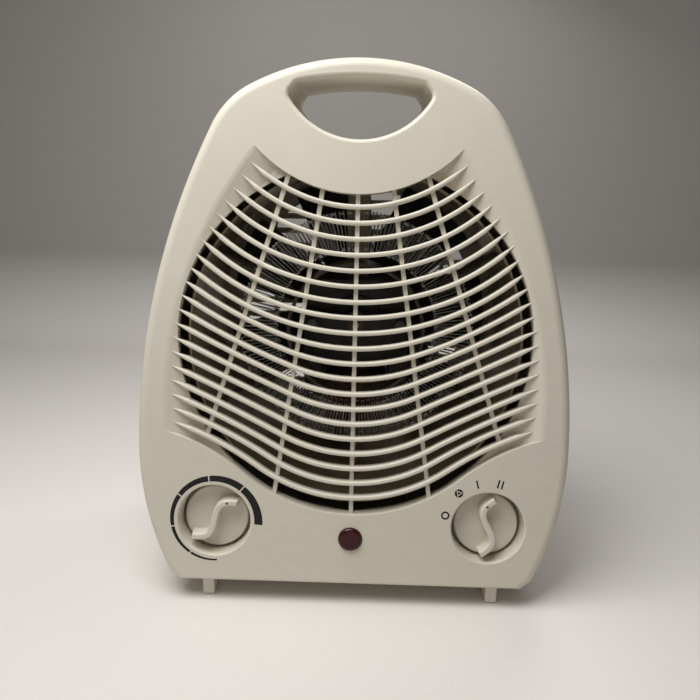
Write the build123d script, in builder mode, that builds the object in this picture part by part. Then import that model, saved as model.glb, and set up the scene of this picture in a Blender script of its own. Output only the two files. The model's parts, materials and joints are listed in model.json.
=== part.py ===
"""Compact table-top fan heater: two moulded half shells around a fan, a motor and an open wire element.

Millimetres, +Z up. The origin is on the floor under the middle of the body, and the front faces -Y.
"""
import os
from math import cos, pi, radians, sin, tan

from build123d import *

os.makedirs("parts", exist_ok=True)

# Overall sizes of the body
body_width = 207.6
body_height = 256.0
body_depth = 118.0
body_bottom = 11.0
front_lean = 8.0
parting_forward = 10.0
wall = 2.6
running_clearance = 0.05
press_clearance = 0.01
seat_clearance = 0.15
free_clearance = 0.5
cut_margin = 2.0

# Outline seen from the front
shoulder_x = 50.0
shoulder_drop = 12.0
temple_x = 67.5
temple_drop = 29.5
waist_height = 78.0
hip_x = 90.0
hip_height = 15.0
base_x = 85.7
rim_radius = 4.4
sill_radius = 1.5
seam_chamfer = 0.5

# Back of the body seen from the side
rear_draft = 3.0
rear_flat_top = 190.0
rear_crest_inset = 43.0
rear_crest_rise = 2.0
rear_rim_radius = 3.0

# Handle opening below the top of the body
handle_bar = 8.5
handle_top_x = 29.0
handle_top_sag = 2.6
handle_side_x = 33.0
handle_side_drop = 16.0
handle_bottom_drop = 35.2
handle_corner = 3.5
handle_edge_radius = 1.8

# Outlet grille on the leaning front
brow_drop = 58.9
brow_tip_x = 47.0
brow_tip_drop = 38.8
bell_height = 46.3
bell_bend_x = 52.0
bell_bend_height = 65.2
bell_tip_x = 90.8
bell_tip_height = 85.8
fan_axis_height = 129.5
outlet_radius = 83.5
scoop_side_x = 78.3
scoop_side_height = 162.2
scoop_low_x = 90.0
scoop_low_height = 92.0
scoop_floor_height = 34.0
scoop_crown_drop = 20.0
scoop_depth = 4.5
scoop_slope = 20.0
scoop_blend = 6.0
collar_wall = 2.2
collar_depth = 5.0
slat_first_gap = 5.7
slat_last_gap = 8.2
slat_bends = (
    (27.1, 5.4), (28.7, 5.4), (30.7, 5.8), (32.8, 5.9), (35.1, 6.4),
    (37.1, 6.7), (39.2, 7.0), (40.7, 7.4), (39.6, 7.1), (35.4, 6.3),
    (31.8, 5.7), (29.8, 5.6), (29.4, 6.0), (28.8, 6.1), (29.5, 6.6),
    (30.5, 7.1), (33.5, 8.3), (36.0, 9.6), (39.5, 11.6), (45.8, 14.7),
)
slat_tip_top = (49.6, 45.4)
slat_tip_cheek = (69.8, 74.6)
slat_tip_side = (83.2, 150.3)
slat_tip_low = (86.4, 89.6)
slat_point = 9.0
slat_face = 2.2
slat_nose = 0.95
slat_deep = 4.2
slat_sunk = 0.15
rib_width = 2.0
rib_front = 2.6
rib_back = 5.0
rib_bury = 1.2
rib_lines = ((0.0, 0.0), (16.6, 39.0), (34.6, 82.0))
rib_overrun = 0.2

# Knobs, their dishes and the lamp on the panel
knob_x = 66.5
knob_height = 41.7
dish_depth = 12.0
dish_edge_radius = 0.8
dish_draft = 4.0
knob_radius = 15.6
knob_gap = 2.15
knob_face_depth = 6.5
knob_disc = 3.0
knob_edge_radius = 0.8
knob_hub_radius = 6.0
knob_floor_gap = 0.4
ridge_length = 28.8
ridge_sway = 4.2
ridge_width = 4.0
ridge_draft = 5.0
ridge_edge_radius = 0.8
thermostat_pointer = 36.0
mode_pointer = 76.0
lens_height = 34.3
lens_radius = 5.8
lens_dome = 1.6
lens_flange_radius = 7.2
lens_flange = 1.2
lens_cup_depth = 11.0
lamp_radius = 2.9
lamp_length = 15.0
lamp_lead_radius = 0.4
lamp_lead_length = 8.0
lamp_lead_spread = 1.2

# Thermostat and rotary switch behind the dishes
spindle_radius = 3.0
spindle_flat = 0.9
spindle_socket = 4.0
plate_width = 30.0
plate_height = 20.0
plate_thick = 1.2
thermostat_width = 24.0
thermostat_height = 17.0
thermostat_deep = 12.0
bimetal_length = 32.0
bimetal_width = 8.0
bimetal_thick = 0.8
bimetal_post = 3.0
switch_side = 27.0
switch_deep = 15.0
switch_corner = 3.0
spade_width = 4.8
spade_thick = 0.8
spade_length = 8.0
spade_pitch = 7.0

# Fasteners and feet
case_screw_upper = (52.0, 30.0)
case_screw_side = (11.5, 100.0)
case_screw_lower = (36.0, 21.0)
screw_radius = 1.7
screw_head_radius = 3.3
screw_head = 2.2
screw_slot = 1.0
screw_slot_length = 4.0
screw_length = 17.0
boss_radius = 4.2
tunnel_radius = 5.6
tunnel_wall = 1.6
tunnel_seat = 6.0
foot_x = 70.5
foot_width = 5.5
foot_deep = 12.0
foot_inset = 4.0
foot_edge_radius = 1.2
foot_pin_radius = 1.8
foot_pin_head_radius = 2.6
foot_pin_head = 1.5

# Intake grille and cord gland on the back
intake_radius = 68.0
intake_pitch = 8.5
intake_bar = 3.2
intake_rib_pitch = 25.0
intake_rib = 2.4
gland_x = -58.0
gland_height = 30.0
gland_bore_radius = 3.6
gland_radius = 6.0
gland_flange_radius = 9.0
gland_flange = 2.4
gland_tail = 5.0
gland_keeper = 2.5
gland_edge_radius = 0.8

# Air duct and its screws
duct_radius = 79.0
duct_wall = 1.0
duct_back_y = 50.0
duct_ear_y = 30.0
duct_ear = 1.2
duct_ear_width = 12.0
duct_ear_reach = 8.5
duct_post_radius = 4.0
duct_screw_length = 10.0

# Motor
stack_front_y = 4.0
stack_thick = 16.0
core_half_width = 28.0
core_top = 22.0
core_window_top = 22.0
core_window_bottom = 38.0
core_window_half = 18.0
core_bottom = 50.0
air_gap = 0.4
rotor_radius = 13.8
rotor_overhang = 1.0
shaft_radius = 2.0
shaft_front_y = -7.0
coil_build = 6.0
bobbin_wall = 1.0
motor_screw_x = 23.0
motor_screw_radius = 1.6
motor_nut_radius = 3.0
motor_nut = 2.4
bracket_height = 10.0
bracket_foot = 8.0
bracket_standoff = 5.0
bracket_bridge = 3.0
bracket_boss_radius = 7.0
bracket_boss_proud = 2.0
bearing_radius = 4.0
strap_width = 12.0
strap_thick = 1.5
strap_tab = 11.0
strap_pad_radius = 12.0
rivet_radius = 1.5
rivet_head_radius = 2.8
rivet_head = 1.0

# Fan
fan_tip_gap = 5.0
fan_hub_radius = 10.0
fan_behind_strap = 13.0
fan_hub_length = 19.0
blade_count = 7
blade_root_chord = 28.0
blade_tip_chord = 50.0
blade_root_pitch = 38.0
blade_tip_pitch = 24.0
blade_thick = 1.4
blade_root_bury = 1.5
shaft_past_fan = 7.5

# Heating element
vane_count = 6
vane_thick = 1.0
vane_front_y = -21.0
vane_back_y = -5.0
vane_inner_radius = 34.6
vane_tongue = 6.0
vane_tongue_reach = 1.8
sleeve_wall = 1.5
wire_inner_radius = 40.0
wire_edge_gap = 19.0
wire_width = 0.8
wire_strands_per_bay = 20
wire_planes_y = (-17.0, -9.0)
wire_notch_clearance = 0.4
terminal_edge_gap = 9.0
terminal_width = 5.0
terminal_thick = 0.8
terminal_length = 9.0
cutout_radius = 4.5
cutout_deep = 6.0
cutout_edge_gap = 8.0
fuse_radius = 1.8
fuse_length = 11.0

# Planes and places that the pieces share
half_width = body_width / 2
front_y = -body_depth / 2
back_y = body_depth / 2
lean_angle = radians(front_lean)
panel = Plane(
    origin=(0, front_y, body_bottom), x_dir=(1, 0, 0), z_dir=(0, -cos(lean_angle), sin(lean_angle))
)
parting = Plane.XZ.offset(parting_forward)
parting_y = -parting_forward
fan_axis = Plane.XZ.shift_origin((0, 0, fan_axis_height))
front_foot_y = front_y + foot_inset + foot_deep / 2
rear_foot_y = back_y - foot_inset - foot_deep / 2
stack_back_y = stack_front_y + stack_thick
strap_front_y = stack_back_y + bracket_standoff + bracket_bridge
strap_back_y = strap_front_y + strap_thick
strap_rivet_y = strap_back_y + strap_tab / 2
rear_crest_y = back_y - rear_crest_inset
fan_middle_y = strap_back_y + fan_behind_strap
shaft_back_y = fan_middle_y + shaft_past_fan
fan_radius = duct_radius - fan_tip_gap
wire_outer_radius = duct_radius - wire_edge_gap
terminal_radius = duct_radius - terminal_edge_gap
cutout_seat_radius = duct_radius - cutout_edge_gap
dish_radius = knob_radius + knob_gap
outlet_back = max(collar_depth, scoop_depth + wall)
strap_reach = (duct_radius**2 - strap_width**2 / 4) ** 0.5 - seat_clearance


def up(height):
    """Distance up the leaning panel of a point at this height above the floor."""
    return (height - body_bottom) / cos(lean_angle)


def across(y):
    """Upright plane at this Y, square to the fan's axis and centred on it, facing forward."""
    return fan_axis.offset(-y)


def finish(piece, name):
    """Label one finished piece and write it."""
    piece.part.label = name
    export_step(piece.part, f"parts/{name}.step")


knob_places = [(-knob_x, up(knob_height)), (knob_x, up(knob_height))]
motor_screw_places = [(-motor_screw_x, 0), (motor_screw_x, 0)]

# Outlines shared by the two shells
with BuildSketch() as body_outline:
    with BuildLine():
        crown = TangentArc((0, body_height), (shoulder_x, body_height - shoulder_drop), tangent=(1, 0))
        shoulder = TangentArc(crown @ 1, (temple_x, body_height - temple_drop), tangent=crown % 1)
        flank = TangentArc(shoulder @ 1, (half_width, waist_height), tangent=shoulder % 1)
        hip = TangentArc(flank @ 1, (hip_x, hip_height), tangent=flank % 1)
        corner = TangentArc(hip @ 1, (base_x, body_bottom), tangent=hip % 1)
        Line(corner @ 1, (0, body_bottom))
        mirror(about=Plane.YZ)
    make_face()

with BuildSketch() as cavity_outline:
    add(body_outline.sketch)
    offset(amount=-wall)

handle_top = body_height - handle_bar
handle_side = body_height - handle_side_drop
handle_bottom = body_height - handle_bottom_drop
with BuildSketch() as handle_outline:
    with BuildLine():
        arch = ThreePointArc(
            (-handle_top_x, handle_top - handle_top_sag),
            (0, handle_top),
            (handle_top_x, handle_top - handle_top_sag),
        )
        near_end = Line(arch @ 1, (handle_side_x, handle_side))
        scoop_arc = ThreePointArc(near_end @ 1, (0, handle_bottom), (-handle_side_x, handle_side))
        Line(scoop_arc @ 1, arch @ 0)
    make_face()
    fillet(handle_outline.vertices(), handle_corner)

with BuildSketch() as handle_wall_outline:
    add(handle_outline.sketch)
    offset(amount=wall, kind=Kind.INTERSECTION)

screw_places = []
for side in (-1, 1):
    screw_places.append((side * case_screw_upper[0], body_height - case_screw_upper[1]))
    screw_places.append((side * (half_width - case_screw_side[0]), case_screw_side[1]))
    screw_places.append((side * case_screw_lower[0], case_screw_lower[1]))

# Outlet curves, drawn on the leaning panel
brow_height = body_height - brow_drop
brow_tip_height = body_height - brow_tip_drop
with BuildSketch() as outlet_band:
    with BuildLine():
        ThreePointArc(
            (brow_tip_x, up(brow_tip_height)), (0, up(brow_height)), (-brow_tip_x, up(brow_tip_height))
        )
        for side in (-1, 1):
            bell_bend = (side * bell_bend_x, up(bell_bend_height))
            lip = TangentArc((0, up(bell_height)), bell_bend, tangent=(side, 0))
            wing = TangentArc(lip @ 1, (side * bell_tip_x, up(bell_tip_height)), tangent=lip % 1)
            Polyline(
                wing @ 1,
                (side * body_width, up(bell_tip_height)),
                (side * body_width, up(body_height)),
                (side * brow_tip_x, up(brow_tip_height)),
            )
    make_face()

with BuildSketch() as scoop_outline:
    with BuildLine():
        crest = Line((0, up(body_height - scoop_crown_drop)), (brow_tip_x, up(brow_tip_height)))
        scoop_side = ThreePointArc(
            crest @ 1, (scoop_side_x, up(scoop_side_height)), (scoop_low_x, up(scoop_low_height))
        )
        TangentArc(scoop_side @ 1, (0, up(scoop_floor_height)), tangent=scoop_side % 1)
        mirror(about=Plane.YZ)
    make_face()

with BuildSketch() as outlet_outline:
    with Locations((0, up(fan_axis_height))):
        Circle(outlet_radius)
    add(outlet_band.sketch, mode=Mode.INTERSECT)

with BuildSketch() as collar_outline:
    add(outlet_outline.sketch)
    offset(amount=collar_wall)

# Front shell, outer form only
with BuildPart() as front_form:
    with BuildSketch(parting):
        add(body_outline.sketch)
    extrude(amount=body_depth)
    split(bisect_by=panel, keep=Keep.BOTTOM)
    rim = front_form.faces().sort_by(Axis((0, 0, 0), panel.z_dir))[-1].edges()
    fillet(rim.sort_by(Axis.Z)[1:], rim_radius)
    fillet(front_form.faces().sort_by(Axis.Z)[0].edges().sort_by(Axis.Y)[0], sill_radius)

# Shallow dished recess around the outlet
with BuildPart() as scoop:
    with BuildSketch(panel):
        add(scoop_outline.sketch)
    extrude(amount=-scoop_depth, taper=90 - scoop_slope)
    with BuildSketch(panel):
        add(outlet_band.sketch)
    extrude(amount=-scoop_depth, mode=Mode.INTERSECT)

with BuildPart() as scoop_backing:
    with BuildSketch(panel):
        add(scoop_outline.sketch)
        offset(amount=wall)
    extrude(amount=-scoop_depth - wall, taper=90 - scoop_slope)
    with BuildSketch(panel):
        add(outlet_band.sketch)
        offset(amount=wall)
    extrude(amount=-scoop_depth - wall, mode=Mode.INTERSECT)
    add(front_form.part, mode=Mode.INTERSECT)

# Everything that stands inside the front shell, kept within its outer form
with BuildPart() as front_inner:
    with BuildSketch(panel):
        add(collar_outline.sketch)
    extrude(amount=-collar_depth)
    with BuildSketch(panel):
        with Locations(*knob_places):
            Circle(dish_radius + wall)
    extrude(amount=-dish_depth - wall)
    with BuildSketch(parting):
        add(handle_wall_outline.sketch)
        with Locations(*screw_places):
            Circle(boss_radius)
    extrude(amount=body_depth)
    add(front_form.part, mode=Mode.INTERSECT)

# Slats: bowed bars with a round nose, drawn out to points that sink into the edge of the recess
slat_first = up(brow_height - slat_first_gap)
slat_last = up(bell_height + slat_last_gap)
with BuildLine() as tip_line:
    cheek = Line(
        (slat_tip_top[0], up(body_height - slat_tip_top[1])),
        (slat_tip_cheek[0], up(body_height - slat_tip_cheek[1])),
    )
    side_bend = TangentArc(cheek @ 1, (slat_tip_side[0], up(slat_tip_side[1])), tangent=cheek % 1)
    TangentArc(side_bend @ 1, (slat_tip_low[0], up(slat_tip_low[1])), tangent=side_bend % 1)
tip_path = tip_line.wire()
scoop_edge = scoop_outline.wire()
slat_ends = []
with BuildPart() as slats:
    with BuildSketch(panel.offset(-slat_sunk)):
        with BuildLine():
            for index, (bend_x, bend_rise) in enumerate(slat_bends):
                share = index / (len(slat_bends) - 1)
                middle = slat_first + (slat_last - slat_first) * share
                tip = tip_path @ share
                for side in (-1, 1):
                    inner = TangentArc((0, middle), (side * bend_x, middle + bend_rise), tangent=(side, 0))
                    outer = TangentArc(
                        inner @ 1, (side * tip.X, tip.Y), tangent=inner % 1, mode=Mode.PRIVATE
                    )
                    shank = 1 - slat_point / outer.length
                    add(outer.trim(0, shank))
                    slat_ends.append((outer @ shank, outer % shank, outer @ 1))
        trace(line_width=slat_face)
    extrude(amount=slat_sunk - slat_deep)
    slat_fronts = slats.faces().group_by(Axis((0, 0, 0), panel.z_dir))[-1]
    fillet(slat_fronts.edges().filter_by(lambda edge: edge.length > 2 * slat_face), slat_nose)

slat_points = []
for root, heading, tip in slat_ends:
    sink = scoop_edge.distance_to(Vertex(*tip)) * tan(radians(scoop_slope)) + slat_sunk
    section = Plane(
        origin=panel.from_local_coords((root.X, root.Y, -slat_sunk)),
        x_dir=panel.z_dir,
        z_dir=panel.x_dir * heading.X + panel.y_dir * heading.Y,
    )
    with BuildPart() as slat_tip:
        with BuildSketch(section) as slat_section:
            with Locations(((slat_sunk - slat_deep) / 2, 0)):
                Rectangle(slat_deep - slat_sunk, slat_face)
            fillet(slat_section.vertices().group_by(Axis.X)[-1], slat_nose)
        loft(sections=[slat_section.sketch, Vertex(*panel.from_local_coords((tip.X, tip.Y, -sink)))])
    slat_points.append(slat_tip.part)

# Upright ribs behind the slats, fanning out downwards
with BuildPart() as ribs:
    with BuildSketch(panel.offset(-rib_front)):
        with BuildLine():
            for top_x, bottom_x in rib_lines:
                for side in (-1, 1) if top_x else (1,):
                    rib_line = Line(
                        (side * top_x, up(brow_height)), (side * bottom_x, up(bell_height)), mode=Mode.PRIVATE
                    )
                    Line(rib_line @ -rib_overrun, rib_line @ (1 + rib_overrun))
        trace(line_width=rib_width)
        with BuildSketch(mode=Mode.INTERSECT):
            add(outlet_outline.sketch)
            offset(amount=rib_bury)
    extrude(amount=rib_front - rib_back)

with BuildPart() as front_cavity:
    with BuildSketch(parting):
        add(cavity_outline.sketch)
    extrude(amount=body_depth)
    split(bisect_by=panel.offset(-wall), keep=Keep.BOTTOM)

# Front shell with its grille, dishes and bosses
with BuildPart() as front_cover:
    add(front_form.part)
    add(front_cavity.part, mode=Mode.SUBTRACT)
    add(scoop_backing.part)
    add(front_inner.part)
    add(scoop.part, mode=Mode.SUBTRACT)
    with BuildSketch(panel):
        add(outlet_outline.sketch)
    extrude(amount=-outlet_back - wall, mode=Mode.SUBTRACT)
    with BuildSketch(parting):
        add(handle_outline.sketch)
    extrude(amount=body_depth, mode=Mode.SUBTRACT)
    with BuildSketch(panel):
        with Locations(*knob_places):
            Circle(dish_radius)
    extrude(amount=-dish_depth, taper=dish_draft, mode=Mode.SUBTRACT)
    with BuildSketch(panel):
        with Locations(*knob_places):
            Circle(spindle_radius + free_clearance)
        with Locations((0, up(lens_height))):
            Circle(lens_radius + seat_clearance)
    extrude(amount=-dish_depth - wall, mode=Mode.SUBTRACT)
    with BuildSketch(parting):
        with Locations(*screw_places):
            Circle(screw_radius + running_clearance)
    extrude(amount=screw_length - tunnel_seat + free_clearance, mode=Mode.SUBTRACT)
    with BuildSketch(Plane.XY):
        with Locations((-foot_x, front_foot_y), (foot_x, front_foot_y)):
            Circle(foot_pin_radius + seat_clearance)
    extrude(amount=body_bottom + wall, mode=Mode.SUBTRACT)
    panel_face = front_cover.faces().filter_by(GeomType.PLANE).sort_by(Axis((0, 0, 0), panel.z_dir))[-1]
    loops = panel_face.inner_wires()
    fillet(loops.sort_by(Axis.Z)[-1].edges(), handle_edge_radius)
    outlet_edges = loops.sort_by(SortBy.LENGTH)[-1].edges()
    fillet(outlet_edges.sort_by(SortBy.LENGTH)[-2:], scoop_blend)
    rounds = front_cover.edges().filter_by(GeomType.CIRCLE)
    fillet(rounds.filter_by(lambda edge: abs(edge.radius - dish_radius) < press_clearance), dish_edge_radius)
    add(ribs.part)
    add(slats.part)
    add(slat_points)
finish(front_cover, "front_cover")

# Rear shell, outer form and its hollow
rear_length = back_y - parting_y
rear_corner = corner.radius - rear_length * tan(radians(rear_draft))


def floor_height(y):
    """Height of the body's underside at this Y: level in front of the parting, drafted behind it."""
    return body_bottom + max(0.0, y - parting_y) * tan(radians(rear_draft))


with BuildSketch(Plane.YZ) as rear_profile:
    with BuildLine():
        spine = Line((back_y, 0), (back_y, rear_flat_top))
        slope = TangentArc(spine @ 1, (rear_crest_y, body_height + rear_crest_rise), tangent=(0, 1))
        Polyline(slope @ 1, (front_y, body_height + rear_crest_rise), (front_y, 0), spine @ 0)
    make_face()

with BuildSketch(Plane.YZ) as rear_cavity_profile:
    with BuildLine():
        spine = Line((back_y - wall, 0), (back_y - wall, rear_flat_top))
        slope = TangentArc(spine @ 1, (rear_crest_y, body_height + rear_crest_rise - wall), tangent=(0, 1))
        Polyline(slope @ 1, (front_y, body_height + rear_crest_rise - wall), (front_y, 0), spine @ 0)
    make_face()

with BuildPart() as rear_form:
    with BuildSketch(parting):
        add(body_outline.sketch)
    extrude(amount=-rear_length, taper=rear_draft)
    extrude(rear_profile.sketch, amount=body_width, both=True, mode=Mode.INTERSECT)
    back_edges = rear_form.faces().sort_by(Axis.Y)[-1].edges().sort_by(Axis.Z)
    fillet(back_edges[1:-1], min(rear_rim_radius, rear_corner))
    fillet(rear_form.faces().sort_by(Axis.Y)[-1].edges().sort_by(Axis.Z)[0], sill_radius)

with BuildPart() as rear_cavity:
    with BuildSketch(parting):
        add(cavity_outline.sketch)
    extrude(amount=-rear_length, taper=rear_draft)
    extrude(rear_cavity_profile.sketch, amount=body_width, both=True, mode=Mode.INTERSECT)

# Everything that stands inside the rear shell, kept within its outer form
ear_radius = duct_radius + duct_wall + duct_post_radius + free_clearance
with BuildPart() as rear_inner:
    with BuildSketch(parting):
        add(handle_wall_outline.sketch)
        with Locations(*screw_places):
            Circle(tunnel_radius)
    extrude(amount=-rear_length)
    with BuildSketch(across(duct_ear_y + duct_ear)):
        with PolarLocations(ear_radius, 4, start_angle=45):
            Circle(duct_post_radius)
    extrude(amount=-body_depth)
    with BuildSketch(Plane.XZ.offset(gland_flange + wall - back_y)):
        with Locations((gland_x, gland_height)):
            Circle(gland_flange_radius + wall)
    extrude(amount=-gland_flange - wall)
    add(rear_form.part, mode=Mode.INTERSECT)

# Rear shell with its intake grille, screw tunnels and cord gland seat
with BuildPart() as rear_cover:
    add(rear_form.part)
    add(rear_cavity.part, mode=Mode.SUBTRACT)
    add(rear_inner.part)
    with BuildSketch(parting):
        add(handle_outline.sketch)
    extrude(amount=-rear_length, mode=Mode.SUBTRACT)
    with BuildSketch(parting.offset(-tunnel_seat)):
        with Locations(*screw_places):
            Circle(tunnel_radius - tunnel_wall)
    extrude(amount=-rear_length, mode=Mode.SUBTRACT)
    with BuildSketch(parting):
        with Locations(*screw_places):
            Circle(screw_radius + seat_clearance)
    extrude(amount=-tunnel_seat, mode=Mode.SUBTRACT)
    with BuildSketch(across(duct_ear_y + duct_ear)):
        with PolarLocations(ear_radius, 4, start_angle=45):
            Circle(screw_radius + running_clearance)
    extrude(amount=-duct_screw_length, mode=Mode.SUBTRACT)
    with BuildSketch(across(back_y - 2 * wall)):
        Circle(intake_radius)
        with GridLocations(0, intake_pitch, 1, int(2 * intake_radius / intake_pitch) + 1):
            Rectangle(2 * intake_radius, intake_bar, mode=Mode.SUBTRACT)
        with GridLocations(intake_rib_pitch, 0, int(2 * intake_radius / intake_rib_pitch), 1):
            Rectangle(intake_rib, 2 * intake_radius, mode=Mode.SUBTRACT)
    extrude(amount=-3 * wall, mode=Mode.SUBTRACT)
    with BuildSketch(Plane.XZ.offset(-back_y)):
        with Locations((gland_x, gland_height)):
            Circle(gland_flange_radius + seat_clearance)
    extrude(amount=gland_flange, mode=Mode.SUBTRACT)
    with BuildSketch(Plane.XZ.offset(-back_y)):
        with Locations((gland_x, gland_height)):
            Circle(gland_radius + seat_clearance)
    extrude(amount=gland_flange + 2 * wall, mode=Mode.SUBTRACT)
    with BuildSketch(Plane.XY):
        with Locations((-foot_x, rear_foot_y), (foot_x, rear_foot_y)):
            Circle(foot_pin_radius + seat_clearance)
    extrude(amount=floor_height(rear_foot_y) + 2 * wall, mode=Mode.SUBTRACT)
    seam = rear_cover.faces().filter_by(Axis.Y).group_by(Axis.Y)[0].sort_by(SortBy.AREA)[-1]
    chamfer(seam.outer_wire().edges(), seam_chamfer)
finish(rear_cover, "rear_cover")

# Cord gland: flanged bush with an inner keeper, empty bore
with BuildPart() as cord_gland:
    with BuildSketch(Plane.XZ.offset(-back_y)):
        with Locations((gland_x, gland_height)):
            Circle(gland_flange_radius)
    extrude(amount=gland_flange)
    with BuildSketch(Plane.XZ.offset(-back_y)):
        with Locations((gland_x, gland_height)):
            Circle(gland_radius)
    extrude(amount=gland_flange + wall + gland_tail)
    with BuildSketch(Plane.XZ.offset(-back_y + gland_flange + wall + seat_clearance)):
        with Locations((gland_x, gland_height)):
            Circle(gland_flange_radius - seat_clearance)
    extrude(amount=gland_keeper)
    with BuildSketch(Plane.XZ.offset(-back_y)):
        with Locations((gland_x, gland_height)):
            Circle(gland_bore_radius)
    extrude(amount=body_depth, mode=Mode.SUBTRACT)
    outer_ring = cord_gland.faces().sort_by(Axis.Y)[-1].edges().sort_by(SortBy.LENGTH)
    fillet(outer_ring, gland_edge_radius)
finish(cord_gland, "cord_gland")

# Case screws, driven forwards through the tunnels
with BuildPart() as case_screws:
    with BuildSketch(parting.offset(-tunnel_seat)):
        with Locations(*screw_places):
            Circle(screw_head_radius)
    extrude(amount=-screw_head)
    with BuildSketch(parting.offset(-tunnel_seat)):
        with Locations(*screw_places):
            Circle(screw_radius)
    extrude(amount=screw_length)
    with BuildSketch(parting.offset(-tunnel_seat - screw_head)):
        with Locations(*screw_places):
            Rectangle(screw_slot_length, screw_slot)
            Rectangle(screw_slot, screw_slot_length)
    extrude(amount=screw_slot, mode=Mode.SUBTRACT)
finish(case_screws, "case_screws")

# Feet: posts pinned through the underside
for end, middle_y in (("front", front_foot_y), ("rear", rear_foot_y)):
    for hand, side in (("left", -1), ("right", 1)):
        near_y = middle_y - foot_deep / 2
        far_y = middle_y + foot_deep / 2
        pin_foot = floor_height(middle_y)
        pin_head_foot = pin_foot + wall + foot_pin_head_radius * tan(radians(rear_draft)) + seat_clearance
        with BuildPart() as foot:
            with BuildSketch(Plane.YZ.offset(side * foot_x - foot_width / 2)):
                with BuildLine():
                    Polyline(
                        (near_y, 0),
                        (far_y, 0),
                        (far_y, floor_height(far_y)),
                        (near_y, floor_height(near_y)),
                        close=True,
                    )
                make_face()
            extrude(amount=foot_width)
            fillet(foot.faces().sort_by(Axis.Z)[0].edges(), foot_edge_radius)
            with BuildSketch(Plane.XY.offset(pin_foot - foot_pin_head)):
                with Locations((side * foot_x, middle_y)):
                    Circle(foot_pin_radius)
            extrude(amount=pin_head_foot - pin_foot + foot_pin_head)
            with BuildSketch(Plane.XY.offset(pin_head_foot)):
                with Locations((side * foot_x, middle_y)):
                    Circle(foot_pin_head_radius)
            extrude(amount=foot_pin_head)
        finish(foot, f"{end}_{hand}_foot")

# Dials: one dished knob with a swaying grip ridge on each spindle
dish_back = dish_depth + wall
for name, side, pointer in (("thermostat", -1, thermostat_pointer), ("mode", 1, mode_pointer)):
    centre = panel.from_local_coords((side * knob_x, up(knob_height), 0))
    turn = radians(pointer)
    dial = Plane(
        origin=centre,
        x_dir=(sin(turn), -cos(turn) * sin(lean_angle), -cos(turn) * cos(lean_angle)),
        z_dir=panel.z_dir,
    )
    sway = [(-ridge_sway * sin(2 * pi * step / 8), ridge_length * step / 8) for step in range(-4, 5)]
    with BuildPart() as knob:
        with BuildSketch(dial.offset(-knob_face_depth)):
            Circle(knob_radius)
        extrude(amount=-knob_disc)
        fillet(knob.faces().sort_by(Axis((0, 0, 0), panel.z_dir))[-1].edges(), knob_edge_radius)
        with BuildSketch(dial.offset(-knob_face_depth - knob_disc)):
            Circle(knob_hub_radius)
        extrude(amount=knob_face_depth + knob_disc - dish_depth + knob_floor_gap)
        with BuildSketch(dial.offset(-knob_face_depth)):
            with BuildLine():
                Spline(*sway)
            trace(line_width=ridge_width)
        extrude(amount=knob_face_depth, taper=ridge_draft)
        crest_face = knob.faces().sort_by(Axis((0, 0, 0), panel.z_dir))[-1]
        fillet(crest_face.edges(), ridge_edge_radius)
        with BuildSketch(dial.offset(-dish_depth + knob_floor_gap)):
            Circle(spindle_radius + running_clearance)
            with Locations((0, spindle_radius + running_clearance)):
                Rectangle(2 * spindle_radius, 2 * spindle_flat, mode=Mode.SUBTRACT)
        extrude(amount=spindle_socket, mode=Mode.SUBTRACT)
    finish(knob, f"{name}_knob")

    spindle_top = dish_depth - knob_floor_gap - spindle_socket + seat_clearance
    works_deep = thermostat_deep if name == "thermostat" else switch_deep
    works_front = dish_back + plate_thick
    with BuildPart() as spindle:
        with BuildSketch(dial.offset(-spindle_top)):
            Circle(spindle_radius)
        extrude(amount=spindle_top - works_front - works_deep)
        with BuildSketch(dial.offset(-spindle_top)):
            with Locations((0, spindle_radius)):
                Rectangle(2 * spindle_radius, 2 * spindle_flat + 2 * running_clearance)
        extrude(amount=spindle_top - dish_depth, mode=Mode.SUBTRACT)
    finish(spindle, f"{name}_spindle")

    upright = Plane(origin=centre, x_dir=panel.x_dir, z_dir=panel.z_dir)
    with BuildPart() as plate:
        with BuildSketch(upright.offset(-dish_back)):
            RectangleRounded(plate_width, plate_height, plate_thick)
            Circle(spindle_radius + free_clearance, mode=Mode.SUBTRACT)
        extrude(amount=-plate_thick)
    finish(plate, f"{name}_plate")

    with BuildPart() as works:
        with BuildSketch(upright.offset(-works_front)):
            if name == "thermostat":
                Rectangle(thermostat_width, thermostat_height)
            else:
                RectangleRounded(switch_side, switch_side, switch_corner)
            Circle(spindle_radius + running_clearance, mode=Mode.SUBTRACT)
        extrude(amount=-works_deep)
    finish(works, "thermostat_body" if name == "thermostat" else "switch_body")

    works_back = works_front + works_deep
    if name == "thermostat":
        with BuildPart() as bimetal:
            with BuildSketch(upright.offset(-works_back)):
                with Locations((-thermostat_width / 2 + bimetal_width / 2, 0)):
                    Rectangle(bimetal_width, bimetal_width)
            extrude(amount=-bimetal_post)
            with BuildSketch(upright.offset(-works_back - bimetal_post)):
                with Locations((bimetal_length / 2 - thermostat_width / 2, 0)):
                    Rectangle(bimetal_length, bimetal_width)
            extrude(amount=-bimetal_thick)
        finish(bimetal, "bimetal_strip")
    else:
        with BuildPart() as spades:
            with BuildSketch(upright.offset(-works_back)):
                with GridLocations(spade_pitch, 2 * spade_pitch, 3, 2):
                    Rectangle(spade_width, spade_thick)
            extrude(amount=-spade_length)
        finish(spades, "switch_terminals")

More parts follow.
